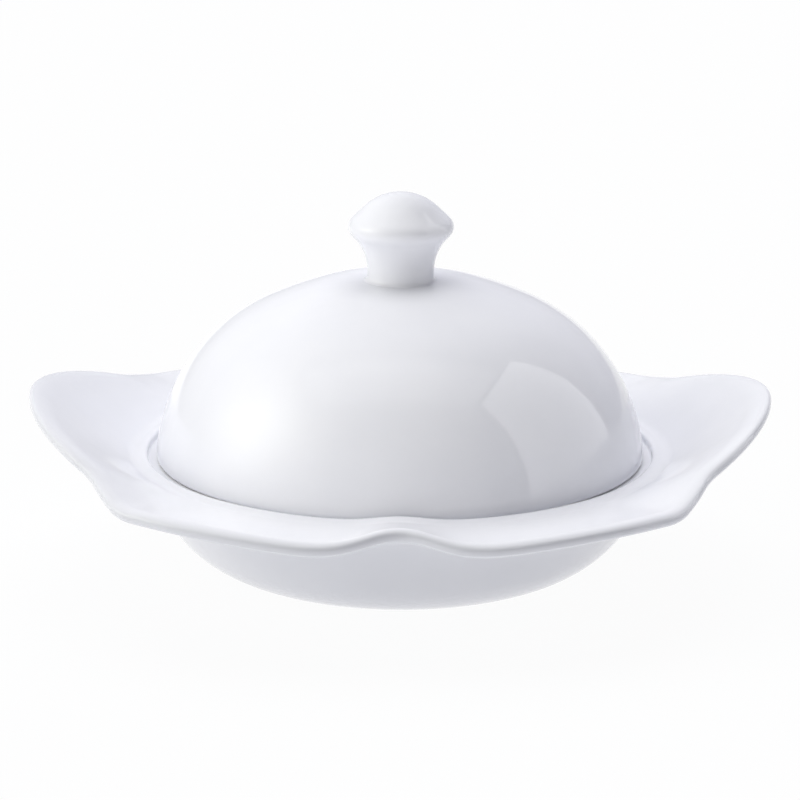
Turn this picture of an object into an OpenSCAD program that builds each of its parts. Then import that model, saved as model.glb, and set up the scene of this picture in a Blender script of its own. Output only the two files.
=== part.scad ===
// Lidded dessert bowl in white porcelain: a round well on a low foot, a wavy flange with two raised
// ears, and a domed lid with a mushroom knob that sits in a recess at the mouth.
// The origin is the centre of the foot on the table, +Z is up and +X points at the right ear.

/* [Bowl] */
// Height of the mouth's edge above the table
mouth_h = 30; // [27:0.5:40]
// Radius of the mouth, the recess that the lid drops into
mouth_r = 61.6; // [58:0.2:64]
// Depth of the lid's seat below the mouth's edge
seat_depth = 1.5; // [1.5:0.5:6]
// Width of the ledge that carries the lid
seat_w = 4.9; // [4:0.1:7]
// Thickness of the well's wall
wall = 4; // [3:0.1:5]
// Outside radius of the round between the well's side and its base
belly_round = 27.2; // [20:0.2:28]
// Width of the collar between the mouth and the flange
collar_w = 3.9; // [3:0.1:6]
// How far the collar falls from the mouth's edge to the flange
collar_drop = 0.3; // [0.2:0.1:1.5]
// Radius on the mouth's edge
mouth_round = 0.6; // [0.4:0.1:1.2]

/* [Foot] */
// Outside radius of the foot ring
foot_r = 36; // [32:0.5:38]
// Width of the foot ring
foot_w = 5; // [3:0.5:8]
// Height of the belly's lowest line above the table
foot_step = 0.6; // [0.6:0.1:3]
// Depth of the hollow inside the foot ring, above the belly's lowest line
foot_hollow = 1; // [0.5:0.1:1.5]
// Bevel on the edges of the foot's resting face
foot_bevel = 0.5; // [0.2:0.1:0.6]

/* [Rim flange] */
// Thickness of the flange where it leaves the collar
rim_t = 3.8; // [3:0.1:5]
// Thickness of the round lip
lip_t = 3.2; // [3:0.1:6]
// How far in from the lip's edge its top begins to roll over at the front and back
lip_roll = 1.9; // [1.7:0.1:4]
// How far in from the lip's edge its top begins to roll over at the ears
ear_roll = 5; // [3:0.1:8]
// Reach of the lip from the axis at the ears
ear_reach = 90; // [84:0.5:100]
// Reach of the lip at the side notches
notch_reach = 85; // [78:0.5:90]
// Reach of the lip at the corners in front of the notches
corner_reach = 90; // [80:0.5:96]
// Reach that the lip falls to at the front and back, before the crest's dent
front_reach = 81.5; // [78:0.5:90]
// Rise of the lip's middle above the mouth's edge at the ears
ear_rise = 13.6; // [6:0.2:20]
// Rise of the lip's middle at the side notches
notch_rise = 5.4; // [2:0.2:9]
// Rise of the lip's middle at the corners
corner_rise = 1.2; // [-1:0.2:4]
// Rise that the lip falls to at the front and back, before the crest
front_rise = -4; // [-5:0.2:2]
// Lift of the wave crest at the front and back
crest_rise = 4.8; // [0:0.2:8]
// Depth of the dent that the crest pulls into the outline
crest_dent = 4.4; // [0:0.2:6]
// Angle of the side notches from the line through the ears
notch_angle = 32; // [26:0.5:35]
// Angle of the corners from the line through the ears
corner_angle = 44; // [39:0.5:50]
// Angle over which a crest dies away
crest_angle = 8; // [5:0.5:12]

/* [Lid] */
// Gap round the lid in its recess
lid_gap = 2; // [1:0.1:3]
// Height of the dome from its seat to its crown
lid_h = 45.4; // [38:0.5:50]
// How far below the seat the dome's side would stand upright
side_drop = 2.5; // [0:0.5:4]
// Outside radius of the crown's large arc
crown_r = 78.4; // [72:0.5:100]
// Thickness of the dome
lid_t = 3.6; // [2.5:0.1:4.5]
// Bevel on the lid's bottom edge
lid_bevel = 0.6; // [0.2:0.1:1]

/* [Knob] */
// Radius of the flat on the crown that the knob stands on
knob_seat_r = 16; // [10:0.5:18]
// Height of the knob above its seat on the crown
knob_h = 21.5; // [16:0.1:28]
// Radius of the knob at its widest
knob_r = 12.9; // [11:0.1:16]
// Radius of the neck
neck_r = 8.1; // [6:0.1:9]
// Height of the straight stretch at the foot of the neck
neck_low = 2.4; // [0.5:0.1:3]
// Height of the widest line above the knob's seat
knob_wide_h = 13.1; // [9:0.1:14]
// Radius of the round edge at the widest line
knob_edge_r = 2.6; // [1.2:0.1:3]
// Radius of the arc over the top of the knob
knob_cap_r = 13; // [12:0.1:18]

/* [Hidden] */
glaze = [0.95, 0.95, 0.96];
bare = [0.90, 0.88, 0.85];

// Facets of the revolved pieces, and of the flange's ring
turn_facets = 144;
ring_facets = 144;

// Shape of the flange: how late it curves up, how its outline and height leave the ears and corners
sweep_power = 1.1;
ear_plan_power = 1.73;
ear_rise_power = 1.74;
front_rise_power = 1.56;
// Step between the angles over which the outline is averaged, which rounds its notches and corners
soften_step = 1;
sweep_steps = 6;
lip_steps = 4;

// Bowl: levels, and the circle that rounds the belly
seat_z = mouth_h - seat_depth;
base_z = foot_step + foot_hollow;
well_r = mouth_r - seat_w;
belly_cx = well_r + wall - belly_round;
belly_cz = foot_step + belly_round;
well_round = belly_round - wall;
well_a = asin(max(0, belly_cz - seat_z) / well_round);

// Root of the flange, a short cylinder just outside the collar
root_r = mouth_r + collar_w;
root_top = mouth_h - collar_drop;
root_low = root_top - rim_t;
root_mid = root_top - rim_t / 2;
lip_r = lip_t / 2;

// The belly's side leaves its circle on the tangent that meets the foot of the flange's root
root_dx = root_r - belly_cx;
root_dz = root_low - belly_cz;
flare_a = atan2(root_dz, root_dx) - acos(belly_round / norm([root_dx, root_dz]));
base_a = -asin((belly_cz - base_z) / belly_round);

// Collar: one arc that lies level at the mouth's edge and falls to the flange
collar_run = collar_w - mouth_round;
collar_arc_r = (collar_run * collar_run + collar_drop * collar_drop) / (2 * collar_drop);
collar_a = 90 - asin(collar_run / collar_arc_r);

// Foot: where its side meets the belly's circle
foot_a = -acos(max(0, foot_r - belly_cx) / belly_round);
foot_in_r = foot_r - foot_w;

// Dome: a crown arc and a shoulder arc that share a tangent, cut off at the seat
lid_r = mouth_r - lid_gap;
side_z = seat_z - side_drop;
dome_h = lid_h + side_drop;
shoulder_r = (2 * dome_h * crown_r - lid_r * lid_r - dome_h * dome_h) / (2 * (crown_r - lid_r));
shoulder_x = lid_r - shoulder_r;
crown_z = side_z + dome_h - crown_r;
shoulder_a = atan2(crown_r - dome_h, shoulder_x);
lid_out_a = asin((side_drop + lid_bevel) / shoulder_r);
lid_in_a = asin((side_drop + lid_bevel) / (shoulder_r - lid_t));
knob_seat_a = acos(knob_seat_r / crown_r);

// Knob: its seat is the flat on the crown
knob_z = crown_z + crown_r * sin(knob_seat_a);
neck_z = knob_z + neck_low;
edge_x = knob_r - knob_edge_r;
edge_z = knob_z + knob_wide_h;
cap_z = knob_z + knob_h - knob_cap_r;
// The neck's hollow arc runs smoothly into the round edge
hollow_dx = edge_x - neck_r;
hollow_dz = edge_z - neck_z;
hollow_r = (hollow_dx * hollow_dx + hollow_dz * hollow_dz - knob_edge_r * knob_edge_r)
    / (2 * (hollow_dx + knob_edge_r));
hollow_x = neck_r + hollow_r;
hollow_a = atan2(hollow_dz, edge_x - hollow_x);
// A short cone touches both the cap's arc and the round edge. Where the cap is so wide that the edge would
// lie inside it, an arc of their mean radius touches both instead
cap_dx = edge_x;
cap_dz = edge_z - cap_z;
cap_d = norm([cap_dx, cap_dz]);
cap_excess = knob_cap_r - knob_edge_r;
has_cone = cap_d > cap_excess;
cap_turn = acos(min(cap_d, cap_excess) / max(cap_d, cap_excess));
cap_a = atan2(cap_dz, cap_dx) + cap_turn;
edge_a = has_cone ? cap_a : cap_a - 2 * cap_turn;

// Points along an arc, from one angle to another
function arc(cx, cz, r, a0, a1, steps) =
    [for (i = [0:steps]) let (a = a0 + (a1 - a0) * i / steps) [cx + r * cos(a), cz + r * sin(a)]];

// A list without its first point, for an arc that starts where the last one ended
function after_first(list) = [for (i = [1:len(list) - 1]) list[i]];

function mix(a, b, u) = a + (b - a) * u;

// The rim repeats in every quarter, so each angle is folded to 0 at an ear and 90 at the front
function fold(angle) =
    let (turn = ((angle % 360) + 360) % 360, half = turn > 180 ? 360 - turn : turn)
    half > 90 ? 180 - half : half;

function crest(q) = exp(-pow((90 - q) / crest_angle, 2));

function sharp_reach(angle) =
    let (q = fold(angle), u = (q - notch_angle) / (corner_angle - notch_angle))
    q < notch_angle ? mix(ear_reach, notch_reach, pow(q / notch_angle, ear_plan_power))
    : q < corner_angle ? mix(notch_reach, corner_reach, u)
    : mix(corner_reach, front_reach, (q - corner_angle) / (90 - corner_angle)) - crest_dent * crest(q);

function sharp_rise(angle) =
    let (q = fold(angle), u = (q - notch_angle) / (corner_angle - notch_angle))
    q < notch_angle ? mix(ear_rise, notch_rise, pow(q / notch_angle, ear_rise_power))
    : q < corner_angle ? mix(notch_rise, corner_rise, u)
    : mix(corner_rise, front_rise, pow((q - corner_angle) / (90 - corner_angle), front_rise_power))
        + crest_rise * crest(q);

// Averages over five neighbouring angles
function reach(angle) =
    let (parts = [for (k = [-2:2]) sharp_reach(angle + k * soften_step)])
    parts * [for (part = parts) 1] / len(parts);
function rise(angle) =
    let (parts = [for (k = [-2:2]) sharp_rise(angle + k * soften_step)])
    parts * [for (part = parts) 1] / len(parts);

// How far the lip's top rolls over at one angle
function roll(angle) = mix(ear_roll, lip_roll, fold(angle) / 90);

// One point of the flange's skin: s runs from the root to the lip, side is 1 on top and -1 below
function skin_point(root, lip, s, side) =
    let (
        slope = (lip[1] - root[1]) * sweep_power * pow(s, sweep_power - 1) / (lip[0] - root[0]),
        half_t = side * mix(rim_t, lip_t, s) / 2,
        tilt = atan(slope),
        middle = [mix(root[0], lip[0], s), mix(root[1], lip[1], pow(s, sweep_power))]
    )
    middle + half_t * [-sin(tilt), cos(tilt)];

// A point of the lip's edge from its middle: a quarter circle below and a longer quarter ellipse on top
function lip_point(a, tilt, top_run) =
    let (run = a > 0 ? top_run : lip_r, out = lip_r - run + run * cos(a), up = lip_r * sin(a))
    [out * cos(tilt) - up * sin(tilt), out * sin(tilt) + up * cos(tilt)];

// Section of the flange at one angle: out along its underside, round the lip and back over its top
function flange_section(angle) =
    let (
        root = [root_r / cos(180 / ring_facets), root_mid],
        lip = [reach(angle) - lip_r, mouth_h + rise(angle)],
        top_run = roll(angle),
        tilt = atan((lip[1] - root[1]) * sweep_power / (lip[0] - root[0])),
        roll_s = 1 - (top_run - lip_r) / (lip[0] - root[0]),
        below = [for (i = [0:sweep_steps]) skin_point(root, lip, i / sweep_steps, -1)],
        edge = [for (i = [1 - lip_steps:lip_steps - 1]) lip + lip_point(90 * i / lip_steps, tilt, top_run)],
        above = [for (i = [sweep_steps:-1:0]) skin_point(root, lip, roll_s * i / sweep_steps, 1)]
    )
    concat(below, edge, above);

module turned(outline) {
    rotate_extrude($fn = turn_facets) polygon(outline);
}

module bowl_body() {
    color(glaze) turned(concat(
        [[0, base_z]],
        arc(belly_cx, belly_cz, belly_round, base_a, flare_a, 14),
        [[root_r, root_low]],
        arc(mouth_r + mouth_round, mouth_h - collar_arc_r, collar_arc_r, collar_a, 90, 6),
        after_first(arc(mouth_r + mouth_round, mouth_h - mouth_round, mouth_round, 90, 180, 6)),
        [[mouth_r, seat_z]],
        seat_z > belly_cz ? [[well_r, seat_z]] : [],
        arc(belly_cx, belly_cz, well_round, -well_a, -90, 20),
        [[0, belly_cz - well_round]]
    ));
}

module rim_flange() {
    sections = [for (i = [0:ring_facets - 1]) flange_section(i * 360 / ring_facets)];
    count = len(sections[0]);
    points = [
        for (i = [0:ring_facets - 1], p = sections[i])
            let (angle = i * 360 / ring_facets) [p[0] * cos(angle), p[0] * sin(angle), p[1]]
    ];
    faces = [
        for (i = [0:ring_facets - 1], j = [0:count - 1], half = [0, 1])
            let (
                here = i * count,
                next = ((i + 1) % ring_facets) * count,
                k = (j + 1) % count
            )
            half == 0 ? [here + j, here + k, next + k] : [here + j, next + k, next + j]
    ];
    color(glaze) polyhedron(points, faces, convexity = 6);
}

module foot_ring() {
    color(bare) turned(concat(
        [[foot_in_r + foot_bevel, 0], [foot_r - foot_bevel, 0], [foot_r, foot_bevel]],
        foot_r < belly_cx ? [[foot_r, foot_step]] : [],
        arc(belly_cx, belly_cz, belly_round, foot_a, base_a, 6),
        [[foot_in_r, base_z], [foot_in_r, foot_bevel]]
    ));
}

module lid_dome() {
    outside = arc(shoulder_x, side_z, shoulder_r, lid_out_a, shoulder_a, 20);
    inside = arc(shoulder_x, side_z, shoulder_r - lid_t, shoulder_a, lid_in_a, 20);
    color(glaze) turned(concat(
        [[inside[20][0] + lid_bevel, seat_z], [outside[0][0] - lid_bevel, seat_z]],
        outside,
        after_first(arc(0, crown_z, crown_r, shoulder_a, knob_seat_a, 8)),
        [[0, knob_z]],
        arc(0, crown_z, crown_r - lid_t, 90, shoulder_a, 8),
        after_first(inside)
    ));
}

module lid_knob() {
    cap = arc(0, cap_z, knob_cap_r, cap_a, 90, 8);
    join_x = cap_excess / 2 * cos(cap_a);
    join_z = cap_z + cap_excess / 2 * sin(cap_a);
    join = arc(join_x, join_z, (knob_cap_r + knob_edge_r) / 2, edge_a, cap_a, 8);
    color(glaze) turned(concat(
        [[0, knob_z], [neck_r, knob_z]],
        arc(hollow_x, neck_z, hollow_r, 180, hollow_a, 10),
        after_first(arc(edge_x, edge_z, knob_edge_r, hollow_a - 180, edge_a, 10)),
        has_cone ? cap : concat(after_first(join), after_first(cap))
    ));
}

bowl_body();
rim_flange();
foot_ring();
lid_dome();
lid_knob();
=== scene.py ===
"""Looks of a lidded dessert bowl in white glazed porcelain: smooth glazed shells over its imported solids.

Shapes are worked out in millimetres in the part's own frame, with +Z up, the origin at the centre of the foot
and +X towards the right ear. They become metres where their meshes are made.
"""

import math

import bmesh
import bpy
import numpy as np
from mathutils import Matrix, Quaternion, Vector


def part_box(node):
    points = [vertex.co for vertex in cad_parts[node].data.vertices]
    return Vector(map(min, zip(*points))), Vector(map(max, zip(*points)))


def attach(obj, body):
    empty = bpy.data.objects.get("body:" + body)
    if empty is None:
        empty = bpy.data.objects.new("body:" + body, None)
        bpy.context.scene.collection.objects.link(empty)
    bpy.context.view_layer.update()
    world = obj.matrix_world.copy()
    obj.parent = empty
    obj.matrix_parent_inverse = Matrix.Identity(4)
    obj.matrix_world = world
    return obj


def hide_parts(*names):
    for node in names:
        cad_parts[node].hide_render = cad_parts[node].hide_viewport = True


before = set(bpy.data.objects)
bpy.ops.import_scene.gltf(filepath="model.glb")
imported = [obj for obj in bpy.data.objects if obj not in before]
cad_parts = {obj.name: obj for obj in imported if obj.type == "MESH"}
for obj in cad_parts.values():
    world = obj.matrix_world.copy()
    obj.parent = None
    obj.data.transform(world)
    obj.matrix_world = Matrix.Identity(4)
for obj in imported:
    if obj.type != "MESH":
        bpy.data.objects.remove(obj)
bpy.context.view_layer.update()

MM = 0.001


def size_of(node):
    """Reach from the axis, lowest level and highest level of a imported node."""
    low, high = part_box(node)
    return high.x / MM, low.z / MM, high.z / MM


# Sizes that the frame gives
root_r, base_z, mouth_h = size_of("bowl_body")
ear_reach = size_of("rim_flange")[0]
_, seat_z, knob_z = size_of("lid_dome")
knob_r, _, knob_top = size_of("lid_knob")

# Bowl: mouth, recess for the lid, well and belly
mouth_r = 61.6
mouth_round = 0.6
seat_w = 4.9
wall = 4
belly_round = 27.2
foot_step = 0.6
collar_drop = 0.3
well_r = mouth_r - seat_w
well_round = belly_round - wall
belly_cx = well_r + wall - belly_round
belly_cz = foot_step + belly_round

# Foot ring
foot_r = 36
foot_w = 5
foot_bevel = 0.5
foot_buried = 0.8

# Rim flange: thickness, reach and rise of its lip round a quarter, from an ear (0) to the front (90)
rim_t = 3.8
lip_t = 3.2
lip_tuck = 1.2
lip_roll = 1.9
ear_roll = 5
notch_reach = 85
corner_reach = 90
front_reach = 81.5
ear_rise = 13.6
notch_rise = 5.4
corner_rise = 1.2
front_rise = -4
crest_rise = 4.8
crest_dent = 4.4
notch_angle = 32
corner_angle = 44
crest_angle = 8
crest_lift = 1.2
sweep_power = 1.1
ear_plan_power = 1.73
ear_rise_power = 1.74
front_rise_power = 1.56
soften_step = 1
root_mid = mouth_h - collar_drop - rim_t / 2
root_low = root_mid - rim_t / 2

# Lid: a crown arc and a shoulder arc that share a tangent, cut off at the seat
lid_gap = 2
lid_h = 45.4
side_drop = 2.5
crown_r = 78.4
lid_t = 3.6
lid_bevel = 0.6
lid_r = mouth_r - lid_gap
side_z = seat_z - side_drop
dome_h = lid_h + side_drop
crown_z = side_z + dome_h - crown_r
shoulder_r = (2 * dome_h * crown_r - lid_r ** 2 - dome_h ** 2) / (2 * (crown_r - lid_r))
shoulder_x = lid_r - shoulder_r
shoulder_a = math.degrees(math.atan2(crown_r - dome_h, shoulder_x))

# Knob: the flat on the crown that it stands on, neck, round edge and cap
knob_seat_r = 16
neck_r = 8.1
neck_low = 2.4
knob_wide_h = 13.1
knob_edge_r = 2.6
knob_cap_r = 13
skirt_w = 2.6
skirt_sink = 0.03

# Sections round the bowl's rim and round a turned piece
RIM_TURNS = 360
LATHE_TURNS = 240

# Points along parts of a section
ARC_POINTS = 40
LIP_POINTS = 17
SKIN_POINTS = 24
UNDER_POINTS = 64
COLLAR_POINTS = 72
OVER_POINTS = 280
FOOT_POINTS = 60
CROWN_POINTS = 60
DOME_POINTS = 260
KNOB_POINTS = 120

# How far corners are rounded along a section, and in how many steps
EDGE_SOFT = 0.4
COLLAR_SOFT = 1.5
ROOT_SOFT = 4
KNOB_SOFT = 1.2
SEAT_SOFT = 5
SOFT_STEPS = 17


def mix(a, b, u):
    return a + (b - a) * u


def arc(cx, cz, radius, start, end):
    """Points of an arc between two angles in degrees."""
    turn = np.radians(np.linspace(start, end, ARC_POINTS))
    return np.column_stack((cx + radius * np.cos(turn), cz + radius * np.sin(turn)))


def soften(points, reach, count):
    """The line through the points as count even steps, its corners rounded over reach on either side."""
    points = np.asarray(points, float)
    along = np.concatenate(([0], np.cumsum(np.hypot(*np.diff(points, axis=0).T))))
    at = np.linspace(0, along[-1], count)
    room = np.minimum(np.minimum(at, along[-1] - at), reach)
    total = np.zeros((count, 2))
    for share in np.linspace(-1, 1, SOFT_STEPS):
        where = at + share * room
        total += np.column_stack([np.interp(where, along, points[:, axis]) for axis in (0, 1)])
    return total / SOFT_STEPS


# The outline of the rim, which repeats in every quarter


def fold(angle):
    """An angle in degrees brought to the first quarter: 0 at an ear, 90 at the front or back."""
    half = abs((angle + 180) % 360 - 180)
    return 180 - half if half > 90 else half


def crest(q):
    return math.exp(-((90 - q) / crest_angle) ** 2)


def sharp_reach(angle):
    q = fold(angle)
    if q < notch_angle:
        return mix(ear_reach, notch_reach, (q / notch_angle) ** ear_plan_power)
    if q < corner_angle:
        return mix(notch_reach, corner_reach, (q - notch_angle) / (corner_angle - notch_angle))
    return mix(corner_reach, front_reach, (q - corner_angle) / (90 - corner_angle)) - crest_dent * crest(q)


def sharp_rise(angle):
    q = fold(angle)
    if q < notch_angle:
        return mix(ear_rise, notch_rise, (q / notch_angle) ** ear_rise_power)
    if q < corner_angle:
        return mix(notch_rise, corner_rise, (q - notch_angle) / (corner_angle - notch_angle))
    fall = ((q - corner_angle) / (90 - corner_angle)) ** front_rise_power
    return mix(corner_rise, front_rise, fall) + crest_rise * crest(q)


def softened(outline, angle):
    """An outline's mean over five neighbouring angles, which rounds its notches and corners."""
    return sum(outline(angle + k * soften_step) for k in range(-2, 3)) / 5


def mouth_lift(angle):
    """How far a crest lifts the mouth's edge at one angle."""
    return crest_lift * crest(fold(angle))


def flange_skin(root_z, lip_x, lip_z, s, side):
    """The flange's skin at shares s of the way from its root to its lip; side is 1 on top and -1 below."""
    x = mix(root_r, lip_x, s)
    z = mix(root_z, lip_z, s ** sweep_power)
    tilt = np.arctan((lip_z - root_z) * sweep_power * s ** (sweep_power - 1) / (lip_x - root_r))
    half_t = side * mix(rim_t, lip_t, s) / 2
    return np.column_stack((x - half_t * np.sin(tilt), z + half_t * np.cos(tilt)))


def flange_outline(angle):
    """Underside, round lip and top of the flange at one angle, as three lines that follow each other."""
    lip_x = softened(sharp_reach, angle) - lip_t / 2
    lip_z = mouth_h + softened(sharp_rise, angle)
    shape = (root_mid + mouth_lift(angle), lip_x, lip_z)
    run = lip_x - root_r
    tip = 1 + lip_t / 2 / run
    quarter = np.radians(np.linspace(0, 90, LIP_POINTS))
    low = tip - lip_tuck / run * (1 - np.sin(quarter))
    high = tip - mix(ear_roll, lip_roll, fold(angle) / 90) / run * (1 - np.sin(quarter))
    under = flange_skin(*shape, np.linspace(0, low[0], SKIN_POINTS), -1)
    lip_low = flange_skin(*shape, low, -np.cos(quarter))
    lip_high = flange_skin(*shape, high, np.cos(quarter))[::-1]
    top = flange_skin(*shape, np.linspace(0, high[0], SKIN_POINTS), 1)[::-1]
    return under, np.vstack((lip_low, lip_high)), top


def bowl_section(angle):
    """The bowl at one angle: from the axis under the base, out over the lip and back into the well."""
    flange_under, lip, flange_top = flange_outline(angle)
    foot_a = -math.degrees(math.acos((foot_r - belly_cx) / belly_round))
    lift = mouth_lift(angle)
    root_dx, root_dz = root_r - belly_cx, root_low + lift - belly_cz
    flare_turn = math.acos(belly_round / math.hypot(root_dx, root_dz))
    flare_a = math.degrees(math.atan2(root_dz, root_dx) - flare_turn)
    base = [(0, base_z), (foot_r - foot_w / 2, base_z)]
    belly = arc(belly_cx, belly_cz, belly_round, foot_a, flare_a)
    under = soften(np.vstack((belly, flange_under)), ROOT_SOFT, UNDER_POINTS)
    collar_run = root_r - mouth_r - mouth_round
    collar_r = (collar_run ** 2 + collar_drop ** 2) / (2 * collar_drop)
    collar_a = 90 - math.degrees(math.asin(collar_run / collar_r))
    collar = arc(mouth_r + mouth_round, mouth_h + lift - collar_r, collar_r, collar_a, 90)
    edge = arc(mouth_r + mouth_round, mouth_h + lift - mouth_round, mouth_round, 90, 180)
    well = arc(belly_cx, belly_cz, well_round, 0, -90)
    ledge = [(mouth_r, seat_z), (well_r, seat_z)]
    top = soften(np.vstack((flange_top, collar)), COLLAR_SOFT, COLLAR_POINTS)
    over = soften(np.vstack((lip, top, edge, ledge, well)), EDGE_SOFT, OVER_POINTS)
    return np.vstack((base, under, over[1:], [(0, belly_cz - well_round)]))


def swept(name, sections):
    """A smooth closed mesh through sections at even angles; each ends on the axis or closes on itself."""
    turns, count, _ = sections.shape
    turn = np.linspace(0, 2 * math.pi, turns, endpoint=False)[:, None]
    r, z = sections[:, :, 0], sections[:, :, 1]
    points = np.stack((r * np.cos(turn), r * np.sin(turn), z), axis=-1).reshape(-1, 3) * MM
    faces = [
        (i * count + j, (i + 1) % turns * count + j, (i + 1) % turns * count + j + 1, i * count + j + 1)
        for i in range(turns) for j in range(count - 1)
    ]
    mesh = bpy.data.meshes.new(name)
    mesh.from_pydata(points.tolist(), [], faces)
    work = bmesh.new()
    work.from_mesh(mesh)
    bmesh.ops.remove_doubles(work, verts=work.verts, dist=1e-7)
    bmesh.ops.recalc_face_normals(work, faces=work.faces)
    work.to_mesh(mesh)
    work.free()
    mesh.shade_smooth()
    piece = bpy.data.objects.new(name, mesh)
    bpy.context.scene.collection.objects.link(piece)
    return piece


def turned(name, outline):
    """A mesh turned from one outline."""
    return swept(name, np.repeat(np.asarray(outline)[None], LATHE_TURNS, axis=0))


# Outlines of the turned pieces


def foot_outline():
    """The foot ring: its top lies inside the bowl's base."""
    inner = foot_r - foot_w
    top = base_z + foot_buried
    ring = [
        (inner, top), (inner, foot_bevel), (inner + foot_bevel, 0),
        (foot_r - foot_bevel, 0), (foot_r, foot_bevel), (foot_r, top),
    ]
    return soften(ring, foot_bevel, FOOT_POINTS)


def dome_outline():
    """The dome: from the axis inside it, down to the bottom edge and up over the outside to the axis."""
    inner_r = shoulder_r - lid_t
    out_a = math.degrees(math.asin((side_drop + lid_bevel) / shoulder_r))
    in_a = math.degrees(math.asin((side_drop + lid_bevel) / inner_r))
    inside = np.vstack((
        arc(0, crown_z, crown_r - lid_t, 90, shoulder_a),
        arc(shoulder_x, side_z, inner_r, shoulder_a, in_a),
    ))
    outside = arc(shoulder_x, side_z, shoulder_r, out_a, shoulder_a)
    knob_seat_a = math.degrees(math.acos(knob_seat_r / crown_r))
    crown = np.vstack((arc(0, crown_z, crown_r, shoulder_a, knob_seat_a), [(0, knob_z)]))
    crown = soften(crown, SEAT_SOFT, CROWN_POINTS)
    edge = [(inside[-1][0] + lid_bevel, seat_z), (outside[0][0] - lid_bevel, seat_z)]
    return soften(np.vstack((inside, edge, outside, crown)), EDGE_SOFT, DOME_POINTS)


def knob_outline():
    """The knob: a thin skirt in the crown's flat, a filled corner, the neck, the round edge and the cap."""
    neck_z = knob_z + neck_low
    edge_x, edge_z = knob_r - knob_edge_r, knob_z + knob_wide_h
    cap_z = knob_top - knob_cap_r
    hollow_dx, hollow_dz = edge_x - neck_r, edge_z - neck_z
    hollow_r = (hollow_dx ** 2 + hollow_dz ** 2 - knob_edge_r ** 2) / (2 * (hollow_dx + knob_edge_r))
    hollow_a = math.degrees(math.atan2(hollow_dz, edge_x - neck_r - hollow_r))
    cap_d = math.hypot(edge_x, edge_z - cap_z)
    cone_turn = math.acos((knob_cap_r - knob_edge_r) / cap_d)
    cone_a = math.degrees(math.atan2(edge_z - cap_z, edge_x) + cone_turn)
    skirt_r = neck_r + skirt_w
    body = np.vstack((
        [(skirt_r, knob_z - skirt_sink), (neck_r, knob_z - skirt_sink)],
        arc(neck_r + hollow_r, neck_z, hollow_r, 180, hollow_a),
        arc(edge_x, edge_z, knob_edge_r, hollow_a - 180, cone_a),
        arc(0, cap_z, knob_cap_r, cone_a, 90),
    ))
    base_z_in_dome = knob_z - skirt_w
    base = [(0, base_z_in_dome), (skirt_r, base_z_in_dome)]
    return np.vstack((base, soften(body, KNOB_SOFT, KNOB_POINTS)))


# Materials: colours, waves of a texture per metre, and heights of a relief in metres

GLAZE_DARK = (0.825, 0.833, 0.88)
GLAZE_LIGHT = (0.85, 0.857, 0.9)
BARE_DARK = (0.80, 0.78, 0.74)
BARE_LIGHT = (0.89, 0.87, 0.84)
CLOUD_SCALE = 55
WAVE_SCALE = 28
WAVE_HEIGHT = 0.00025
PEEL_SCALE = 420
PEEL_HEIGHT = 0.000012
GRAIN_SCALE = 1600
GRAIN_HEIGHT = 0.00006


def noise(nodes, links, place, scale, detail=2):
    """A noise texture in the part's own frame; scale is waves per metre."""
    texture = nodes.new("ShaderNodeTexNoise")
    texture.inputs["Scale"].default_value = scale
    texture.inputs["Detail"].default_value = detail
    links.new(place.outputs["Object"], texture.inputs["Vector"])
    return texture


def bump(nodes, links, texture, height, below=None):
    """A bump of a height in metres from a texture, laid over another bump."""
    node = nodes.new("ShaderNodeBump")
    node.inputs["Strength"].default_value = 1
    node.inputs["Distance"].default_value = height
    links.new(texture.outputs["Fac"], node.inputs["Height"])
    if below:
        links.new(below.outputs["Normal"], node.inputs["Normal"])
    return node


def ramp(nodes, links, source, stops):
    """A colour ramp from a value; stops are (place, colour)."""
    node = nodes.new("ShaderNodeValToRGB")
    for element, (place, colour) in zip(node.color_ramp.elements, stops):
        element.position = place
        element.color = (*colour, 1)
    links.new(source, node.inputs["Fac"])
    return node


def new_material(name):
    material = bpy.data.materials.new(name)
    material.use_nodes = True
    nodes, links = material.node_tree.nodes, material.node_tree.links
    return material, nodes, links, nodes["Principled BSDF"], nodes.new("ShaderNodeTexCoord")


def white_glaze():
    """Clear glossy glaze over white porcelain, a little uneven where it ran."""
    material, nodes, links, shader, place = new_material("white_glaze")
    cloud = noise(nodes, links, place, CLOUD_SCALE, 3)
    tint = ramp(nodes, links, cloud.outputs["Fac"], [(0.3, GLAZE_DARK), (0.7, GLAZE_LIGHT)])
    links.new(tint.outputs["Color"], shader.inputs["Base Color"])
    waves = bump(nodes, links, noise(nodes, links, place, WAVE_SCALE), WAVE_HEIGHT)
    peel = bump(nodes, links, noise(nodes, links, place, PEEL_SCALE), PEEL_HEIGHT, waves)
    links.new(peel.outputs["Normal"], shader.inputs["Normal"])
    shader.inputs["Roughness"].default_value = 0.06
    shader.inputs["IOR"].default_value = 1.5
    return material


def bare_porcelain():
    """Fired porcelain without glaze, fine-grained and matt."""
    material, nodes, links, shader, place = new_material("bare_porcelain")
    grain = noise(nodes, links, place, GRAIN_SCALE, 4)
    tint = ramp(nodes, links, grain.outputs["Fac"], [(0.3, BARE_DARK), (0.7, BARE_LIGHT)])
    links.new(tint.outputs["Color"], shader.inputs["Base Color"])
    grit = bump(nodes, links, grain, GRAIN_HEIGHT)
    links.new(grit.outputs["Normal"], shader.inputs["Normal"])
    shader.inputs["Roughness"].default_value = 0.82
    return material


# Pieces

glaze = white_glaze()
bare = bare_porcelain()


def dress(piece, body, slot, *nodes):
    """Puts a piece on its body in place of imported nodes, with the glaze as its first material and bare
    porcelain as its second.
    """
    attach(piece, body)
    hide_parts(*nodes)
    piece.data.materials.append(glaze)
    piece.data.materials.append(bare)


def bare_below(piece, level):
    """Leaves the glaze off the faces that lie under a level."""
    for face in piece.data.polygons:
        if face.center.z < level * MM:
            face.material_index = 1


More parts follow.
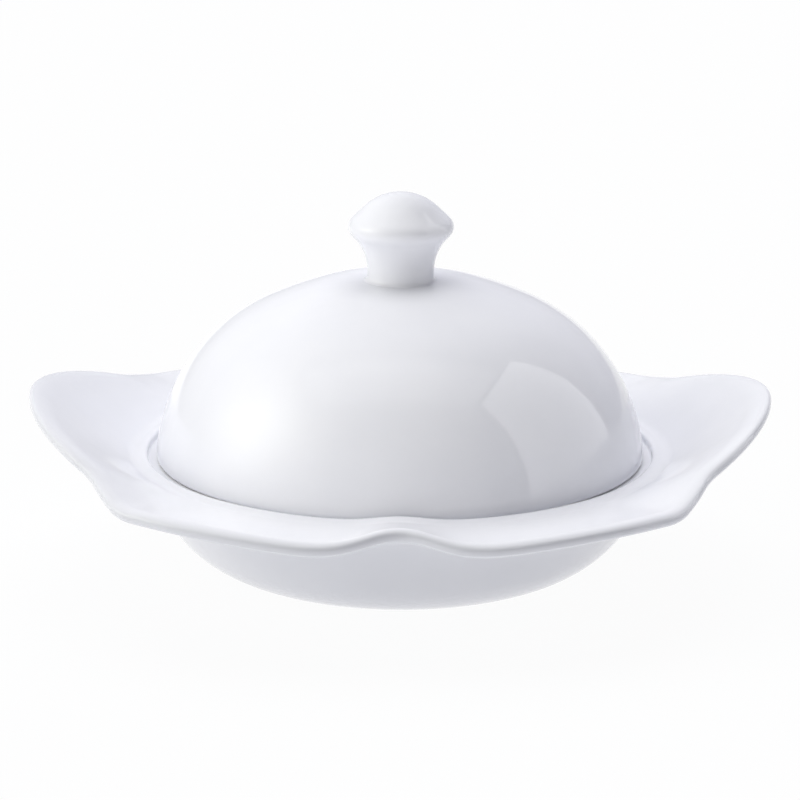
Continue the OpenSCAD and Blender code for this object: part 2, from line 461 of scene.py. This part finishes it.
sections = np.array([bowl_section(360 * i / RIM_TURNS) for i in range(RIM_TURNS)])
bowl = swept("bowl_shell", sections)
dress(bowl, "bowl", "white_glaze", "bowl_body", "rim_flange")

foot_line = foot_outline()
foot = turned("foot_shell", np.vstack((foot_line, foot_line[:1])))
dress(foot, "bowl", "bare_porcelain", "foot_ring")
bare_below(foot, foot_bevel / 2)

dome = turned("dome_shell", dome_outline())
dress(dome, "lid", "white_glaze", "lid_dome")
bare_below(dome, seat_z + lid_bevel / 2)

knob = turned("knob_shell", knob_outline())
dress(knob, "lid", "white_glaze", "lid_knob")

# Floor

FLOOR_SIZE = 60
FLOOR_DROP = 0.0001
FLOOR_GLOW = 0.95
FLOOR_LIFT = 0.5
FLOOR_COLOUR = (0.74, 0.75, 0.79, 1)


def add_math(nodes, links, operation, *values):
    """A math node; each value is a number or another node's output."""
    node = nodes.new("ShaderNodeMath")
    node.operation = operation
    for socket, value in zip(node.inputs, values):
        if isinstance(value, (int, float)):
            socket.default_value = value
        else:
            links.new(value, socket)
    return node.outputs[0]


def white_floor():
    """White paper: white to the camera and in the glaze, it takes the shadow and lights from below."""
    material, nodes, links, paper, _ = new_material("floor_white")
    paper.inputs["Base Color"].default_value = FLOOR_COLOUR
    paper.inputs["Roughness"].default_value = 0.9
    paper.inputs["Specular IOR Level"].default_value = 0
    path = nodes.new("ShaderNodeLightPath").outputs
    seen = add_math(nodes, links, "MAXIMUM", path["Is Camera Ray"], path["Is Glossy Ray"])
    seen = add_math(nodes, links, "MAXIMUM", seen, path["Is Transmission Ray"])
    share = add_math(nodes, links, "MULTIPLY_ADD", seen, FLOOR_GLOW - FLOOR_LIFT, FLOOR_LIFT)
    glow = nodes.new("ShaderNodeEmission")
    both = nodes.new("ShaderNodeMixShader")
    links.new(share, both.inputs["Fac"])
    links.new(paper.outputs["BSDF"], both.inputs[1])
    links.new(glow.outputs["Emission"], both.inputs[2])
    links.new(both.outputs["Shader"], nodes["Material Output"].inputs["Surface"])
    return material


half = FLOOR_SIZE / 2
floor_mesh = bpy.data.meshes.new("floor")
corners = [(-half, -half), (half, -half), (half, half), (-half, half)]
floor_mesh.from_pydata([(x, y, -FLOOR_DROP) for x, y in corners], [], [(0, 1, 2, 3)])
floor = bpy.data.objects.new("floor", floor_mesh)
bpy.context.scene.collection.objects.link(floor)
floor_mesh.materials.append(white_floor())

# Studio light: soft glows in the sky, a lamp above and behind, two cards that only show in the glaze, and a
# fill that lights the lid alone

# Azimuth and elevation of each glow's middle, how sharply it fades, and its colour there
GLOWS = {
    "left_lamp": (-81, 26, 14, (3.2, 3.2, 2.9)),
    "left_wall": (-90, 20, 3, (0.40, 0.40, 0.42)),
    "back_wall": (180, 20, 4, (0.50, 0.50, 0.54)),
    "back_right_wall": (135, 20, 4, (0.48, 0.48, 0.53)),
    "front": (0, 20, 3, (0.08, 0.08, 0.10)),
}


def toward(azimuth, elevation, distance):
    """A place seen from the object.

    Azimuth 0 is the camera's side and 90 the right; elevation is above the floor.
    """
    a, e = math.radians(azimuth), math.radians(elevation)
    flat = distance * math.cos(e)
    return (flat * math.sin(a), -flat * math.cos(a), distance * math.sin(e))


def soft_sky():
    """A world that glows most towards the middle of each glow, and less the further away."""
    world = bpy.data.worlds.new("soft_sky")
    world.use_nodes = True
    nodes, links = world.node_tree.nodes, world.node_tree.links
    direction = nodes.new("ShaderNodeTexCoord").outputs["Generated"]
    total = None
    for azimuth, elevation, sharpness, colour in GLOWS.values():
        facing = nodes.new("ShaderNodeVectorMath")
        facing.operation = "DOT_PRODUCT"
        links.new(direction, facing.inputs[0])
        facing.inputs[1].default_value = toward(azimuth, elevation, 1)
        fade = add_math(nodes, links, "MULTIPLY_ADD", facing.outputs["Value"], sharpness, -sharpness)
        glow = nodes.new("ShaderNodeVectorMath")
        glow.operation = "SCALE"
        glow.inputs[0].default_value = colour
        links.new(add_math(nodes, links, "EXPONENT", fade), glow.inputs["Scale"])
        if total:
            both = nodes.new("ShaderNodeVectorMath")
            links.new(total, both.inputs[0])
            links.new(glow.outputs["Vector"], both.inputs[1])
            total = both.outputs["Vector"]
        else:
            total = glow.outputs["Vector"]
    links.new(total, nodes["Background"].inputs["Color"])
    return world


def add_light(name, kind, place, target, energy):
    """A light of a kind that faces a target."""
    data = bpy.data.lights.new(name, kind)
    data.energy = energy
    light = bpy.data.objects.new(name, data)
    light.location = place
    light.rotation_mode = "QUATERNION"
    light.rotation_quaternion = (Vector(target) - Vector(place)).to_track_quat("-Z", "Y")
    light.visible_camera = False
    bpy.context.scene.collection.objects.link(light)
    return light


def add_panel(name, place, target, width, height, level):
    """A rectangular light of one even brightness that faces a target."""
    panel = add_light(name, "AREA", place, target, level * math.pi * width * height)
    panel.data.shape = "RECTANGLE"
    panel.data.size, panel.data.size_y = width, height
    return panel


OVERHEAD_LEVEL = 0.7
OVERHEAD_ANGLE = 60
OVERHEAD_AZIMUTH = -172
OVERHEAD_ELEVATION = 68
CARD_DISTANCE = 1.2
CARD_WIDTH = 1.33
CARD_HEIGHT = 1.84
CARD_LEVEL = 1.4
ROOF_HEIGHT = 1.2
ROOF_WIDTH = 1.44
ROOF_DEPTH = 0.67
ROOF_Y = -0.23
ROOF_LEVEL = 0.6
FILL_AZIMUTH = -14
FILL_ELEVATION = 8
FILL_DISTANCE = 0.8
FILL_WIDTH = 2
FILL_HEIGHT = 0.25
FILL_LEVEL = 1.7
FILL_COLOUR = (1, 0.985, 0.95)

bpy.context.scene.world = soft_sky()

overhead_place = toward(OVERHEAD_AZIMUTH, OVERHEAD_ELEVATION, 1)
overhead = add_light("overhead", "SUN", overhead_place, (0, 0, 0), OVERHEAD_LEVEL * math.pi)
overhead.data.angle = math.radians(OVERHEAD_ANGLE)
overhead.visible_glossy = False

card_z = CARD_HEIGHT / 2
card_place = (CARD_DISTANCE, 0, card_z)
card = add_panel("right_card", card_place, (0, 0, card_z), CARD_WIDTH, CARD_HEIGHT, CARD_LEVEL)
card.visible_diffuse = False

roof_place = (0, ROOF_Y, ROOF_HEIGHT)
roof = add_panel("roof_card", roof_place, (0, ROOF_Y, 0), ROOF_WIDTH, ROOF_DEPTH, ROOF_LEVEL)
roof.visible_diffuse = False

fill_place = toward(FILL_AZIMUTH, FILL_ELEVATION, FILL_DISTANCE)
fill = add_panel("lid_fill", fill_place, (0, 0, seat_z * MM), FILL_WIDTH, FILL_HEIGHT, FILL_LEVEL)
fill.data.color = FILL_COLOUR
fill.visible_glossy = False
lit_by_fill = bpy.data.collections.new("lit_by_fill")
lit_by_fill.objects.link(dome)
lit_by_fill.objects.link(knob)
fill.light_linking.receiver_collection = lit_by_fill

# Camera: a long lens, a little above the table

VIEW_DISTANCE = 0.9
VIEW_ELEVATION = 14.95
VIEW_ROLL = 0.3
AIM_Z = 0.04205
IMAGE_PX = 800
FOCAL_PX = 3690
SENSOR_MM = 36

camera_data = bpy.data.cameras.new("camera")
camera_data.sensor_width = SENSOR_MM
camera_data.lens = SENSOR_MM * FOCAL_PX / IMAGE_PX
camera = bpy.data.objects.new("camera", camera_data)
offset = Vector(toward(0, VIEW_ELEVATION, VIEW_DISTANCE))
camera.location = offset + Vector((0, 0, AIM_Z))
camera.rotation_mode = "QUATERNION"
roll = Quaternion((0, 0, 1), math.radians(VIEW_ROLL))
camera.rotation_quaternion = (-offset).to_track_quat("-Z", "Y") @ roll
bpy.context.scene.collection.objects.link(camera)
bpy.context.scene.camera = camera
bpy.context.scene.view_settings.view_transform = "Standard"
